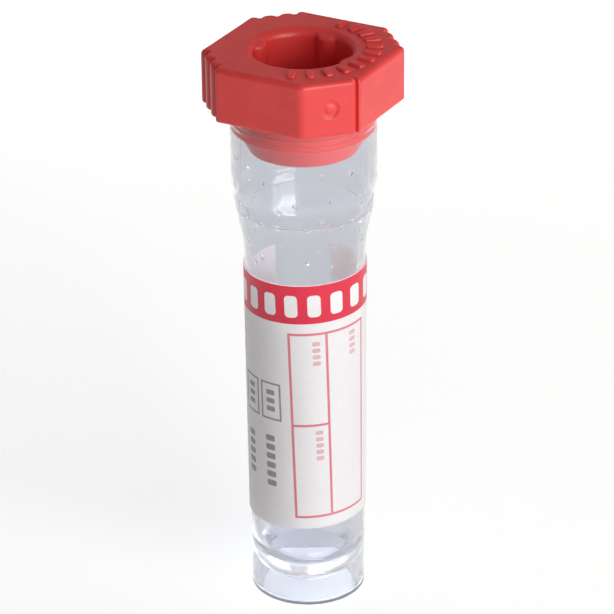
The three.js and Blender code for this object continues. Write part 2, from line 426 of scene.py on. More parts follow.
CLEAR_IOR = 1.49
RED_IOR = 1.5
CLEAR_BUMP = 0.012 * MM  # depth of the moulded skin's unevenness on the clear plastic
RED_BUMP = 0.02 * MM  # the same on the red plastic
FIBRE_BUMP = 0.01 * MM
SPECK_FADE = MM  # height over which the specks set in and die out
SPECK_TOP = 0.5 * MM  # how far the specks reach up past the plug's end


def moulded_skin_group():
    """The slight unevenness of a moulded surface: a soft waviness with a fine grain in it."""
    group, source, result = new_group(
        "Moulded Skin",
        [
            ("Coordinates", "NodeSocketVector", None),
            ("Roughness", "NodeSocketFloat", 0.4),
            ("Spread", "NodeSocketFloat", 0.1),
            ("Grain", "NodeSocketFloat", 0.3),
        ],
        [(name, "NodeSocketFloat") for name in ("Roughness", "Height", "Cloud")],
    )
    give = source.outputs
    waves = noise(group, give["Coordinates"], WAVES, 2)
    grain = noise(group, give["Coordinates"], GRAIN, 3)
    cloud = noise(group, give["Coordinates"], CLOUDS, 4)
    uneven = math_node(group, "SUBTRACT", cloud, 0.5)
    uneven = math_node(group, "MULTIPLY", uneven, give["Spread"])
    outputs = {
        "Roughness": math_node(group, "ADD", uneven, give["Roughness"]),
        "Height": math_node(group, "MULTIPLY_ADD", grain, give["Grain"], waves),
        "Cloud": cloud,
    }
    set_inputs(group, result, outputs)
    return group


def moulded_skin(tree, roughness, spread, grain):
    """The moulded skin's outputs for one plastic."""
    return place_group(
        tree,
        "Moulded Skin",
        moulded_skin_group,
        Coordinates=object_coordinates(tree),
        Roughness=roughness,
        Spread=spread,
        Grain=grain,
    )


def specks(tree, sizes):
    """Small glinting dimples in the neck, up to the plug's end, as a height from 0 to 1."""
    coordinates = object_coordinates(tree)
    cells = add_node(
        tree, "TexVoronoi", {"Scale": 1 / sizes.speck_spacing, "Vector": coordinates}
    )
    reach = sizes.speck_radius / sizes.speck_spacing
    dimples = map_range(tree, cells.outputs["Distance"], 0.0, reach, 1.0, 0.0, smooth=True)
    height = separate(tree, coordinates)["Z"]
    low, high = sizes.body_height, CAP_LOW.z + SPECK_TOP
    for clear, full in ((low, low + SPECK_FADE), (high, high - SPECK_FADE)):
        within = map_range(tree, height, clear, full, 0.0, 1.0)
        dimples = math_node(tree, "MULTIPLY", dimples, within)
    return dimples


def clear_plastic(sizes):
    """Clear, faintly clouded plastic that lets the lamps reach what is inside it."""
    material, tree, shader = new_material("clear_plastic")
    moulded = moulded_skin(tree, sizes.roughness, spread=0.04, grain=0.02)
    inputs = {
        "Base Color": opaque(sizes.tint),
        "IOR": CLEAR_IOR,
        "Transmission Weight": 1 - sizes.cloud,
        "Roughness": moulded["Roughness"],
    }
    set_inputs(tree, shader, inputs)
    part = CLEAR_BUMP / sizes.speck_depth
    height = math_node(tree, "MULTIPLY_ADD", moulded["Height"], part, specks(tree, sizes))
    add_bump(tree, shader, height, sizes.speck_depth)
    through = add_node(tree, "BsdfTransparent", {"Color": opaque(sizes.tint)})
    shadow = add_node(tree, "LightPath").outputs["Is Shadow Ray"]
    mix = add_node(tree, "MixShader", {0: shadow})
    tree.links.new(shader.outputs[0], mix.inputs[1])
    tree.links.new(through.outputs[0], mix.inputs[2])
    tree.links.new(mix.outputs[0], tree.nodes["Material Output"].inputs["Surface"])
    return material


def red_plastic(sizes):
    """Satin red plastic, slightly deeper in patches. The cap and its index marks share it."""
    existing = bpy.data.materials.get("red_plastic_satin")
    if existing:
        return existing
    material, tree, shader = new_material("red_plastic_satin")
    moulded = moulded_skin(tree, sizes.roughness, spread=0.12, grain=0.35)
    patches = map_range(tree, moulded["Cloud"], 0.35, 0.65, 0.0, 1.0, smooth=True)
    inputs = {
        "Base Color": mix_colour(tree, patches, sizes.red, sizes.deep_red),
        "Roughness": moulded["Roughness"],
        "IOR": RED_IOR,
    }
    set_inputs(tree, shader, inputs)
    add_bump(tree, shader, moulded["Height"], RED_BUMP)
    return material


def printed_row_group():
    """A row of even, rounded blocks of ink between two ends, one block to each pitch."""
    names = "Along Across Start End Middle Pitch Length Width Rounding Softness".split()
    group, source, result = new_group(
        "Printed Row",
        [(name, "NodeSocketFloat", 0.0) for name in names],
        [("Ink", "NodeSocketFloat")],
    )
    give = source.outputs

    def do(operation, *values):
        return math_node(group, operation, *values)

    from_start = do("SUBTRACT", give["Along"], give["Start"])
    cell = do("FRACT", do("DIVIDE", from_start, give["Pitch"]))
    local = do("MULTIPLY", do("SUBTRACT", cell, 0.5), give["Pitch"])
    aside = do("SUBTRACT", give["Across"], give["Middle"])
    beyond = []
    for offset, size in ((local, give["Length"]), (aside, give["Width"])):
        core = do("SUBTRACT", do("MULTIPLY", size, 0.5), give["Rounding"])
        beyond.append(do("SUBTRACT", do("ABSOLUTE", offset), core))
    inside = do("MINIMUM", do("MAXIMUM", *beyond), 0.0)
    outer = [do("MAXIMUM", away, 0.0) for away in beyond]
    squares = [do("MULTIPLY", away, away) for away in outer]
    reach = do("ADD", do("SQRT", do("ADD", *squares)), inside)
    outside = do("SUBTRACT", reach, give["Rounding"])
    soft = give["Softness"]
    ink = map_range(group, outside, do("MULTIPLY", soft, -1.0), soft, 1.0, 0.0, smooth=True)
    begun = do("GREATER_THAN", give["Along"], give["Start"])
    ended = do("LESS_THAN", give["Along"], give["End"])
    set_inputs(group, result, {"Ink": do("MULTIPLY", ink, do("MULTIPLY", begun, ended))})
    return group


INK_SOFTNESS = 0.025  # millimetres that the ink's edge fades over, to each side


def printed_row(tree, along, across, ends, sides, pitch=None, length=None, rounding=0.0):
    """A row of ink blocks, in millimetres on the label. Without a pitch it is one solid block."""
    start, end = ends
    low, high = sides
    return place_group(
        tree,
        "Printed Row",
        printed_row_group,
        Along=along,
        Across=across,
        Start=start,
        End=end,
        Middle=(low + high) / 2,
        Pitch=pitch or end - start,
        Length=length or end - start,
        Width=high - low,
        Rounding=rounding,
        Softness=INK_SOFTNESS,
    )["Ink"]


def band(middle, half):
    return middle - half, middle + half


def all_ink(tree, masks):
    total = masks[0]
    for mask in masks[1:]:
        total = math_node(tree, "MAXIMUM", total, mask)
    return total


# The form under the header, in millimetres: across from the middle of the front, up from the foot.
FORM_COLUMNS = (-1.15, 1.72, 5.2)
FORM_TOP = 16.76
FORM_MIDDLE = 9.0
FORM_FOOT = 1.04
FIELD_NAMES = ((0.92, 14.0, 16.2), (0.92, 5.85, 8.6), (4.0, 14.2, 16.4))  # across, low, high
CODE_BOXES = ((-3.86, -2.0, 9.2, 12.4), (-6.0, -4.15, 9.2, 12.4))  # left, right, low, high
CODE_LINES = ((-3.1, 3.3, 7.98), (-5.3, 3.8, 7.7))  # across, low, high

# The blocks that stand for print, in millimetres: half their height, and how they are spaced.
NAME_HALF, NAME_BLOCKS = 0.3, {"pitch": 0.55, "length": 0.36, "rounding": 0.12}
BOX_HALF, BOX_BLOCKS = 0.38, {"pitch": 0.7, "length": 0.42, "rounding": 0.1}
CODE_HALF, CODE_BLOCKS = 0.42, {"pitch": 0.78, "length": 0.5, "rounding": 0.15}
HEADER_ENDS, HEADER_SIDES = (-17.5, 17.5), (0.55, 2.35)
HEADER_BLOCKS = {"pitch": 1.75, "length": 1.0, "rounding": 0.32}
BOX_LINE = 0.16  # width of a code box's outline


def form_lines(tree, across, up, width):
    """The ruled lines of the form: three columns, with a cross line in the first."""
    left, middle, right = FORM_COLUMNS
    half = width / 2
    masks = []
    for end, height in ((right, FORM_TOP), (right, FORM_FOOT), (middle, FORM_MIDDLE)):
        masks.append(printed_row(tree, across, up, (left - half, end + half), band(height, half)))
    for column in FORM_COLUMNS:
        ends = (FORM_FOOT - half, FORM_TOP + half)
        masks.append(printed_row(tree, up, across, ends, band(column, half)))
    return all_ink(tree, masks)


def upright_rows(tree, across, up, rows, half, blocks):
    """Rows of blocks that run up the label, each given as (across, low, high)."""
    return [
        printed_row(tree, up, across, (low, high), band(at, half), **blocks)
        for at, low, high in rows
    ]


def overprint(tree, across, up):
    """The grey overprint: two outlined boxes and a row of small blocks under each."""
    masks = []
    for left, right, low, high in CODE_BOXES:
        outer = printed_row(tree, up, across, (low, high), (left, right), rounding=0.12)
        ends = (low + BOX_LINE, high - BOX_LINE)
        sides = (left + BOX_LINE, right - BOX_LINE)
        inner = printed_row(tree, up, across, ends, sides, rounding=0.05)
        masks.append(math_node(tree, "SUBTRACT", outer, inner, clamp=True))
        rows = [((left + right) / 2, low + 0.6, high - 0.5)]
        masks += upright_rows(tree, across, up, rows, BOX_HALF, BOX_BLOCKS)
    masks += upright_rows(tree, across, up, CODE_LINES, CODE_HALF, CODE_BLOCKS)
    return all_ink(tree, masks)


def label_paper(sizes):
    """Coated white paper with a red header, a ruled form and a grey overprint. The back of the
    paper carries a faint copy of the print: painted light standing in for light that shines
    through the printed front.
    """
    material, tree, shader = new_material("label_paper_printed")
    chart = separate(tree, add_node(tree, "UVMap").outputs["UV"])
    across = chart[0]
    top = sizes.height / MM
    behind = math_node(tree, "LESS_THAN", chart[1], -0.5 * top)
    up = math_node(tree, "MULTIPLY_ADD", behind, 2 * top, chart[1])
    foot = top - sizes.header / MM
    header = printed_row(tree, across, up, (-20.0, 20.0), (foot, top + 1.0))
    sides = [foot + side for side in HEADER_SIDES]
    blocks = printed_row(tree, across, up, HEADER_ENDS, sides, **HEADER_BLOCKS)
    in_front = math_node(tree, "SUBTRACT", 1.0, behind)
    blocks = math_node(tree, "MULTIPLY", blocks, in_front)
    header = math_node(tree, "SUBTRACT", header, blocks, clamp=True)
    lines = form_lines(tree, across, up, sizes.line / MM)
    names = all_ink(tree, upright_rows(tree, across, up, FIELD_NAMES, NAME_HALF, NAME_BLOCKS))
    names = math_node(tree, "MULTIPLY", names, 0.6)
    grey = math_node(tree, "MULTIPLY", overprint(tree, across, up), 0.8)
    # Painted light on the back of the paper: the print at this share stands in for light shining
    # through the printed front. On the front it keeps full strength.
    strength = map_range(tree, behind, 0.0, 1.0, 1.0, sizes.painted_through_light)
    header, lines, names, grey = (
        math_node(tree, "MULTIPLY", ink, strength) for ink in (header, lines, names, grey)
    )
    fibres = noise(tree, object_coordinates(tree), FIBRES, 4, 0.6)
    shade = map_range(tree, fibres, 0.3, 0.7, 0.0, 1.0)
    paper = mix_colour(tree, shade, sizes.paper, [0.965 * c for c in sizes.paper])
    printed = mix_colour(tree, header, paper, sizes.red_ink)
    printed = mix_colour(tree, all_ink(tree, [lines, names]), printed, sizes.line_ink)
    ink = all_ink(tree, [header, lines, grey])
    inputs = {
        "Base Color": mix_colour(tree, grey, printed, sizes.grey_ink),
        "Roughness": map_range(tree, ink, 0.0, 1.0, 0.5, 0.38),
        "Subsurface Weight": 1.0,
        "Subsurface Radius": (1.0, 0.9, 0.85),
        "Subsurface Scale": sizes.sheer,
    }
    set_inputs(tree, shader, inputs)
    add_bump(tree, shader, fibres, FIBRE_BUMP)
    return material


# ----- Tube -----


def body_radius(sizes, height):
    return lerp(sizes.body_foot_radius, sizes.body_top_radius, height / sizes.body_height)


def tube_outside(sizes):
    """The outer outline as (radius, height), from the foot up to the rim."""
    collar_foot = sizes.rim_height - sizes.collar_height
    shoulder = collar_foot - sizes.shoulder_drop
    shoulder_radius = sizes.collar_radius - sizes.shoulder_inset
    bead_radius = sizes.body_foot_radius + sizes.foot_bead
    bead_top = 2 * sizes.foot_bead_height
    start = Vector((sizes.body_foot_radius - sizes.foot_bead, 0.0))
    bead = Vector((bead_radius, sizes.foot_bead_height / 2))
    neck = Vector((sizes.body_top_radius, sizes.body_height))
    ease = sizes.shoulder_ease
    points = [start, *curve([start, Vector((bead_radius, 0.0)), bead], 5)]
    points += line(bead, Vector((body_radius(sizes, bead_top), bead_top)), 3)
    points += line(points[-1], neck, 24)
    top = Vector((shoulder_radius, shoulder))
    leave = neck + Vector((0.0, sizes.neck_ease))
    points += curve([neck, leave, top - Vector((ease * sizes.shoulder_slope, ease)), top], 22)
    step = Vector((sizes.collar_radius - sizes.collar_step, collar_foot))
    points += line(top, step, 5)
    rise = sizes.collar_step_height
    collar = [Vector((sizes.collar_radius, collar_foot + part * rise)) for part in (0.5, 1)]
    points += curve([step, *collar], 8)
    rim = Vector((sizes.collar_radius, sizes.rim_height))
    points += line(points[-1], rim - Vector((0.0, sizes.rim_rounding)), 6)
    points += curve([points[-1], rim, rim - Vector((sizes.rim_rounding, 0.0))], 5)
    return points


def tube_inside(sizes):
    """The bore's outline as (radius, height), from the rim down to the round bottom's edge."""
    bore = sizes.collar_radius - sizes.collar_wall
    bore_top = sizes.body_top_radius - sizes.body_wall
    ledge = sizes.rim_height - sizes.collar_height - sizes.ledge_drop
    neck = sizes.body_height + sizes.neck_lead
    rim = Vector((bore, sizes.rim_height))
    points = [rim + Vector((sizes.rim_rounding, 0.0))]
    points += curve([points[0], rim, rim - Vector((0.0, sizes.rim_rounding))], 5)
    funnel = Vector((bore, ledge + sizes.ledge_funnel))
    inner = Vector((bore_top + sizes.ledge_inset, ledge))
    outer = inner + Vector((sizes.ledge_width, sizes.ledge_width))
    end = Vector((bore_top, neck))
    points += line(points[-1], funnel, 6)
    points += curve([funnel, Vector((bore, ledge + sizes.ledge_funnel / 2)), outer], 16)
    points += curve([outer, outer - Vector((0.2, 0.8)) * sizes.ledge_width, inner], 6)
    leave = Vector((inner.x, lerp(ledge, neck, 0.25)))
    arrive = Vector((bore_top, lerp(neck, ledge, 0.35)))
    points += curve([inner, leave, arrive, end], 24)
    points += line(end, Vector((body_radius(sizes, neck / 2) - sizes.body_wall, neck / 2)), 6)
    return points


SKIRT_ROUNDING = 0.12 * MM  # rounding of the skirt's inner edge at the table


def tube_mesh(sizes):
    """The tube as one turned solid, from the dome under the bottom to the floor of the bore."""
    inner = sizes.body_foot_radius - sizes.body_wall
    outer = inner + sizes.bottom_thickness
    skirt = sizes.body_foot_radius - sizes.skirt_wall
    centre = Vector((0.0, sizes.dome_clearance + outer))
    edge = acos(skirt / outer)
    dome = arc(centre, outer, -pi / 2, -edge, 26)[1:]
    floor = arc(centre, inner, 0.0, -pi / 2, 34)[:-1]
    foot = Vector((skirt, 0.0))
    outline = dome + line(dome[-1], foot + Vector((0.0, SKIRT_ROUNDING)), 3)
    outline += curve([outline[-1], foot, foot + Vector((SKIRT_ROUNDING, 0.0))], 4)
    outline += tube_outside(sizes) + tube_inside(sizes) + floor
    turns = [2 * pi * i / sizes.sides for i in range(sizes.sides)]
    rings = [ring(point.x, point.y, turns) for point in outline]
    return skin("tube", rings, centre.y - outer, centre.y - inner)


class COLLECTION_TUBE_OT_tube(bpy.types.Operator):
    """Build the clear tube with its collar, neck, round bottom and skirt"""

    bl_idname = "collection_tube.add_tube"
    bl_label = "Clear Tube"

    def execute(self, context):
        sizes = context.scene.collection_tube_tube
        mesh, material = tube_mesh(sizes), clear_plastic(sizes)
        add_piece("clear_tube", mesh, material, "tube_body", node="tube")
        return {"FINISHED"}


# ----- Cap -----


FLAT_STEPS = 18  # points along each flat
RIB_STEPS = 12
RIB_DEPTH = 0.9 * MM  # crest of a rib back to where the flat starts
LUG_BLEND = 0.12 * MM  # rounding between a lug and the well's wall
LUG_ROUNDING = 0.3 * MM  # rounding of a lug's top
WELL_FILLET = 0.3 * MM  # rounding round the well's floor


def head_top_of(sizes):
    """The top of the head, below its index marks."""
    return CAP_HIGH.z - sizes.mark_proud


def half_edge(sizes, out):
    """Half the width of a cut corner whose edge lies at this distance from the axis."""
    return sqrt(2) * sizes.flat_reach - out


def ribbed_corner(sizes):
    """A ribbed corner as (across, out), from flat to flat. Nothing stands outside the flats."""
    crest = sizes.flat_reach + sizes.corner_reach + sizes.rib_proud
    valley = crest - sizes.rib_height
    first = -(sizes.rib_count - 1) / 2 * sizes.rib_pitch
    points = [Vector((first - sizes.rib_width / 2, valley))]
    for rib in range(sizes.rib_count):
        middle = first + rib * sizes.rib_pitch
        for step in range(RIB_STEPS + 1):
            turn = lerp(-pi / 2, pi / 2, step / RIB_STEPS)
            across = middle + sin(turn) * sizes.rib_width / 2
            points.append(Vector((across, valley + cos(turn) * sizes.rib_height)))
    limit = sqrt(2) * sizes.flat_reach
    flat_start = crest - RIB_DEPTH
    ends = [Vector((side * half_edge(sizes, flat_start), flat_start)) for side in (-1, 1)]
    points = [Vector((point.x, min(point.y, limit - abs(point.x)))) for point in points]
    return [ends[0], *points[1:], ends[1]]


def smooth_corner(sizes):
    """The smooth corner as (across, out): plain, with one upright slot at its far end."""
    cut = sizes.flat_reach + sizes.corner_reach
    half = half_edge(sizes, cut)
    slot_end = half - sizes.slot_land
    slot_start = slot_end - sizes.slot_width
    land = cut - sizes.slot_land
    floor = cut - sizes.slot_depth
    diagonal = sizes.corner_rounding / sqrt(2)
    start = Vector((-half - diagonal, cut - diagonal))
    corner = Vector((-half, cut))
    end = corner + Vector((sizes.corner_rounding, 0.0))
    points = [start, *curve([start, corner, end], 8)]
    points += line(points[-1], Vector((slot_start - 0.06 * MM, cut)), 40)
    points += rounded(
        [
            points[-1],
            Vector((slot_start, cut)),
            Vector((slot_start + 0.05 * MM, floor)),
            Vector((slot_end - 0.08 * MM, floor)),
            Vector((slot_end, land)),
            Vector((half_edge(sizes, land), land)),
            Vector((half_edge(sizes, land - 0.4 * MM), land - 0.4 * MM)),
        ],
        0.1 * MM,
    )[1:]
    return points


def head_ring(sizes, corners, inset, height):
    """The head's outline at a height, drawn in by an inset, with the flats between its corners."""
    points = []
    for index, corner in enumerate(corners):
        middle = pi / 4 + index * pi / 2
        along = Vector((-sin(middle), cos(middle)))
        outward = Vector((cos(middle), sin(middle)))
        half = max(point.x for point in corner)
        shrink = 1 - inset * (sqrt(2) - 1) / half
        for point in corner:
            out = point.y - inset - dimple(sizes, index, point.x, height)
            points.append(along * point.x * shrink + outward * out)
    return points


def dimple(sizes, corner, across, height):
    """How deep the moulding mark is at a place on the head's side."""
    middle = head_top_of(sizes) - sizes.head_height / 2
    reach = hypot(across, height - middle) / sizes.dimple_radius
    if corner != 3 or reach > 1:
        return 0.0
    dish = 1 - smooth_step(0.72, 1.0, reach)
    return sizes.dimple_depth * dish * lerp(0.45, 1.0, smooth_step(0.2, 0.6, reach))


def with_flats(ring_points, corner_sizes):
    """A head outline with the flats between its corners divided evenly."""
    result = []
    start = 0
    for index, size in enumerate(corner_sizes):
        result += ring_points[start : start + size]
        last = ring_points[start + size - 1]
        following = ring_points[(start + size) % len(ring_points)]
        result += line(last, following, FLAT_STEPS)[:-1]
        start += size
    return result


def well_radius(sizes, wall, height, lug_top, turn):
    """The well's radius in one direction: its wall, or a lug where one stands nearer the axis."""
    radius = sizes.lug_width / 2
    centre = wall - sizes.lug_reach + radius
    offset = (turn + pi / 4) % (pi / 2) - pi / 4
    aside = centre * sin(offset)
    if abs(aside) >= radius:
        return wall
    lug = centre * cos(offset) - sqrt(radius * radius - aside * aside)
    part = min(max(0.5 + 0.5 * (wall - lug) / LUG_BLEND, 0.0), 1.0)
    inward = lerp(wall, lug, part) - LUG_BLEND * part * (1 - part)
    rise = min(max((height - lug_top + LUG_ROUNDING) / LUG_ROUNDING, 0.0), 1.0)
    return lerp(wall, min(inward, wall), sqrt(1 - rise * rise))


def well_rings(sizes, turns, head_top, floor):
    """Rings from the middle of the well's floor up to the rounded mouth."""
    plug_end = sizes.plug_radius - sizes.plug_taper
    foot = plug_end - sizes.plug_wall
    lug_top = head_top - sizes.lug_drop
    mouth = foot + sizes.well_draft
    shape = line(Vector((0.0, floor)), Vector((foot - WELL_FILLET, floor)), 8)
    shape += curve([shape[-1], Vector((foot, floor)), Vector((foot, floor + WELL_FILLET))], 6)
    under = Vector((lerp(foot, mouth, 0.86), lug_top - 0.35 * MM))
    shape += line(shape[-1], under, 22)
    shape += line(under, Vector((mouth, head_top - sizes.well_rounding)), 14)
    lip = Vector((mouth + sizes.well_rounding, head_top))
    shape += curve([shape[-1], Vector((mouth, head_top)), lip], 12)
    shape.append(lip + Vector((0.04 * MM, 0.0)))
    rings = []
    for point in shape:
        reach = point.x / mouth

        def radius(turn, point=point, reach=reach):
            full = well_radius(sizes, max(point.x, foot), point.y, lug_top, turn)
            return full * min(reach * mouth / max(point.x, foot), 1.0)

        rings.append(ring(radius, point.y, turns))
    return rings


def plug_outline(sizes, head_foot, groove_top):
    """The underside, the rim's groove and the plug as (radius, height), ending near the axis."""
    groove = TUBE_HIGH.x + sizes.rim_clearance
    plug_foot = CAP_LOW.z
    neck = sizes.plug_radius - sizes.seal_depth
    plug_end = sizes.plug_radius - sizes.plug_taper
    seal_end = plug_foot + sizes.plug_taper_length
    seal_top = head_foot - 0.25 * MM
    corners = [
        Vector((groove + 0.3 * MM, head_foot)),
        Vector((groove, head_foot)),
        Vector((groove, groove_top)),
        Vector((neck, groove_top)),
        Vector((neck, seal_top)),
        Vector((sizes.plug_radius, seal_top - 0.1 * MM)),
    ]
    points = rounded(corners, 0.08 * MM)
    for rise in (2 * sizes.seal_height, sizes.seal_height):
        middle = seal_end + rise
        half = sizes.groove_width / 2
        points += sealing_groove(sizes.plug_radius, middle, half, sizes.seal_depth)
    points += rounded(
        [
            points[-1],
            Vector((sizes.plug_radius, seal_end)),
            Vector((neck, seal_end - 0.12 * MM)),
            Vector((plug_end, plug_foot)),
            Vector((0.4 * plug_end, plug_foot)),
        ],
        sizes.plug_rounding,
        8,
    )[1:]
    return points


def sealing_groove(radius, middle, half, depth):
    """A narrow rounded groove round the plug, from its upper edge to its lower edge."""
    steps = 8
    rows = [lerp(1.0, -1.0, i / steps) for i in range(steps + 1)]
    return [Vector((radius - depth * (1 - row * row), middle + half * row)) for row in rows]


def cap_mesh(sizes):
    """The cap as one closed skin: well, top, ribbed side, underside, groove and plug."""
    head_top = head_top_of(sizes)
    head_foot = head_top - sizes.head_height
    groove_top = head_foot + sizes.rim_depth
    floor = CAP_LOW.z + sizes.floor_thickness
    corners = [ribbed_corner(sizes)] * 3 + [smooth_corner(sizes)]
    counts = [len(corner) for corner in corners]
    plain = with_flats(head_ring(sizes, corners, 0.0, head_top), counts)
    turns = [atan2(point.y, point.x) for point in plain]

    top_edge, foot_edge = sizes.top_rounding, sizes.foot_rounding
    rows = [(top_edge + 0.05 * MM, head_top)]
    for step in range(9):
        turn = pi / 2 * step / 8
        rows.append((top_edge * (1 - sin(turn)), head_top - top_edge * (1 - cos(turn))))
    steps = 44
    high, low = head_top - top_edge, head_foot + foot_edge
    rows += [(0.0, lerp(high, low, i / steps)) for i in range(1, steps)]
    for step in range(7):
        turn = pi / 2 * step / 6
        level = head_foot + foot_edge * (1 - sin(turn))
        rows.append((foot_edge * (1 - cos(turn)), level))
    rows.append((foot_edge + 0.05 * MM, head_foot))

    rings = well_rings(sizes, turns, head_top, floor)
    for inset, height in rows:
        outline = with_flats(head_ring(sizes, corners, inset, height), counts)
        rings.append([(point.x, point.y, height) for point in outline])
    plug = plug_outline(sizes, head_foot, groove_top)
    rings += [ring(point.x, point.y, turns) for point in plug]
    return skin("cap", rings, floor, CAP_LOW.z)


class COLLECTION_TUBE_OT_cap(bpy.types.Operator):
    """Build the red cap with its ribbed corners, well, lugs, sealing beads and plug"""

    bl_idname = "collection_tube.add_cap"
    bl_label = "Plug Cap"

    def execute(self, context):
        sizes = context.scene.collection_tube_cap
        mesh, material = cap_mesh(sizes), red_plastic(sizes)
        add_piece("plug_cap", mesh, material, "cap_body", node="cap")
        return {"FINISHED"}


MARK_ROUNDING = 0.75  # rounding of a mark's top edge, as a share of its height
MARK_CORNER = 0.3  # rounding of a mark's corners, as a share of its width


def mark_rings(width, long, height):
    """The rings of one low, rounded bar: foot, sides, rounded shoulder and top."""
    rounding = height * MARK_ROUNDING
    rows = [(0.0, -height), (0.0, height - rounding)]
    for step in range(1, 5):
        turn = pi / 2 * step / 4
        rows.append((rounding * (1 - cos(turn)), height - rounding * (1 - sin(turn))))
    corner = width * MARK_CORNER
    rings = []
    for inset, level in rows:
        radius = max(corner - inset, 0.01 * MM)
        points = []
        for side_x, side_y, start in ((1, 1, 0), (-1, 1, 90), (-1, -1, 180), (1, -1, 270)):
            for step in range(5):
                turn = radians(start + 90 * step / 4)
                x = side_x * (long / 2 - corner) + radius * cos(turn)
                y = side_y * (width / 2 - corner) + radius * sin(turn)
                points.append((x, y, level))
        rings.append(points)
    return rings


def marks_mesh(sizes):
    """A row of index marks in an arc, midway between the well's mouth and the head's edge."""
    plug_end = sizes.plug_radius - sizes.plug_taper
    mouth = plug_end - sizes.plug_wall + sizes.well_draft + sizes.well_rounding
    radius = (mouth + sizes.flat_reach - sizes.top_rounding) / 2
    outward = Matrix.Translation((radius, 0.0, head_top_of(sizes)))
    height = sizes.mark_proud + sizes.mark_crown
    rings = mark_rings(sizes.mark_width, sizes.mark_length, height)
    count = len(rings[0])
    points, faces = [], []
    for index in range(sizes.mark_count):
        turn = sizes.mark_start + sizes.mark_sweep * index / (sizes.mark_count - 1)
        place = Matrix.Rotation(turn, 4, "Z") @ outward
        base = len(points)
        points += [place @ Vector(point) for row in rings for point in row]
        faces += wall_faces(len(rings), count, base)
        top = base + (len(rings) - 1) * count
        faces.append(tuple(range(top, top + count)))
        faces.append(tuple(reversed(range(base, base + count))))
    return new_mesh("index_marks", points, faces)


class COLLECTION_TUBE_OT_marks(bpy.types.Operator):
    """Build the raised index marks round the well of the cap"""

    bl_idname = "collection_tube.add_marks"
    bl_label = "Index Marks"

    def execute(self, context):
        sizes = context.scene.collection_tube_cap
        mesh, material = marks_mesh(sizes), red_plastic(sizes)
        add_piece("index_marks", mesh, material, "cap_body")
        return {"FINISHED"}


# ----- Label -----


def label_mesh(sizes, tube):
    """The label as a thin closed sleeve round the body, open at the back. Its UV map is in
    millimetres: across from the middle of the front, and up from the lower edge. The back of the
    paper is mapped two label heights further down."""
    foot = tube.body_height - sizes.drop - sizes.height
    middle = foot + sizes.height / 2
    half = pi - sizes.gap / 2
    columns, rows = 180, 24
    skew = Matrix.Rotation(sizes.skew, 3, "X")
    girth = body_radius(tube, middle) + sizes.thickness
    points, places = [], []
    for layer in (-sizes.bond, sizes.thickness):
        for row in range(rows + 1):
            for column in range(columns + 1):
                turn = lerp(-half, half, column / columns)
                up = lerp(-sizes.height / 2, sizes.height / 2, row / rows)
                flat = skew @ Vector((girth * cos(turn), girth * sin(turn), up))
                height = middle + flat.z
                radius = body_radius(tube, height) + layer
                facing = atan2(flat.y, flat.x) + sizes.front
                points.append((radius * cos(facing), radius * sin(facing), height))
                sheet = 0.0 if layer > 0 else -2 * sizes.height
                places.append((girth * turn / MM, (up + sizes.height / 2 + sheet) / MM))
    wide = columns + 1
    layer_size = wide * (rows + 1)
    faces = []
    for row in range(rows):
        for column in range(columns):
            a = row * wide + column
            b, c, d = a + 1, a + wide + 1, a + wide
            faces.append((a, d, c, b))
            faces.append(tuple(layer_size + corner for corner in (a, b, c, d)))
    border = list(range(wide))
    border += [row * wide + columns for row in range(1, rows + 1)]
    border += [rows * wide + column for column in reversed(range(columns))]
    border += [row * wide for row in reversed(range(1, rows))]
    for a, b in zip(border, border[1:] + border[:1]):
        faces.append((a, b, layer_size + b, layer_size + a))
    mesh = new_mesh("label", points, faces)
    chart = mesh.uv_layers.new(name="print")
    for loop in mesh.loops:
        chart.data[loop.index].uv = places[loop.vertex_index]
    return mesh


class COLLECTION_TUBE_OT_label(bpy.types.Operator):
    """Build the wrapped label with its header, form and overprint"""

    bl_idname = "collection_tube.add_label"
    bl_label = "Label"

    def execute(self, context):
        sizes = context.scene.collection_tube_label
        mesh = label_mesh(sizes, context.scene.collection_tube_tube)
        material = label_paper(sizes)
        add_piece("wrapped_label", mesh, material, "tube_body", node="label")
        return {"FINISHED"}


# ----- Studio -----


WHITE = (1.0, 1.0, 1.0, 1.0)

# The floor's own light as the camera sees it: dim near the tube, white further off.
FLOOR_NEAR, FLOOR_FAR = 60 * MM, 350 * MM
FLOOR_DIM, FLOOR_BRIGHT = 0.37, 1.0
FLOOR_GLOSSY, FLOOR_THROUGH = 0.42, 0.02  # the same in a reflection and through the plastic
WORLD_GLOSSY, WORLD_THROUGH = 0.22, 0.8

FLOOR_REACH = 1.5
LAMP_COLOUR = (1.0, 0.99, 0.98)
SENSOR_WIDTH = 36.0
BOUNCES = 32

# Name, turn from the camera in degrees, distance and height, size, power setting and its share.
LAMPS = (
    ("key_lamp", 41, 0.4, 0.13, (0.34, 0.25), "key_power", 1.0),
    ("back_lamp", 190, 0.4, 0.13, (0.14, 0.34), "back_power", 1.0),
    ("right_rim_lamp", 145, 0.4, 0.1, (0.2, 0.2), "rim_power", 1.0),
    ("left_rim_lamp", 215, 0.4, 0.1, (0.2, 0.2), "rim_power", 0.6),
    ("front_lamp", 36, 0.3, 0.012, (0.2, 0.02), "front_power", 1.0),
    ("top_lamp", 200, 0.1, 0.45, (0.3, 0.3), "top_power", 1.0),
)


def seen_as(tree, plain, camera, glossy, through):
    """A strength that depends on what looks: plain light, the camera, a gloss or clear plastic."""
    path = add_node(tree, "LightPath")
    strength = plain
    for look, value in (
        ("Is Glossy Ray", glossy),
        ("Is Transmission Ray", through),
        ("Transmission Depth", through),
        ("Is Diffuse Ray", plain),
        ("Is Camera Ray", camera),
    ):
        strength = map_range(tree, path.outputs[look], 0.0, 1.0, strength, value)
    return strength


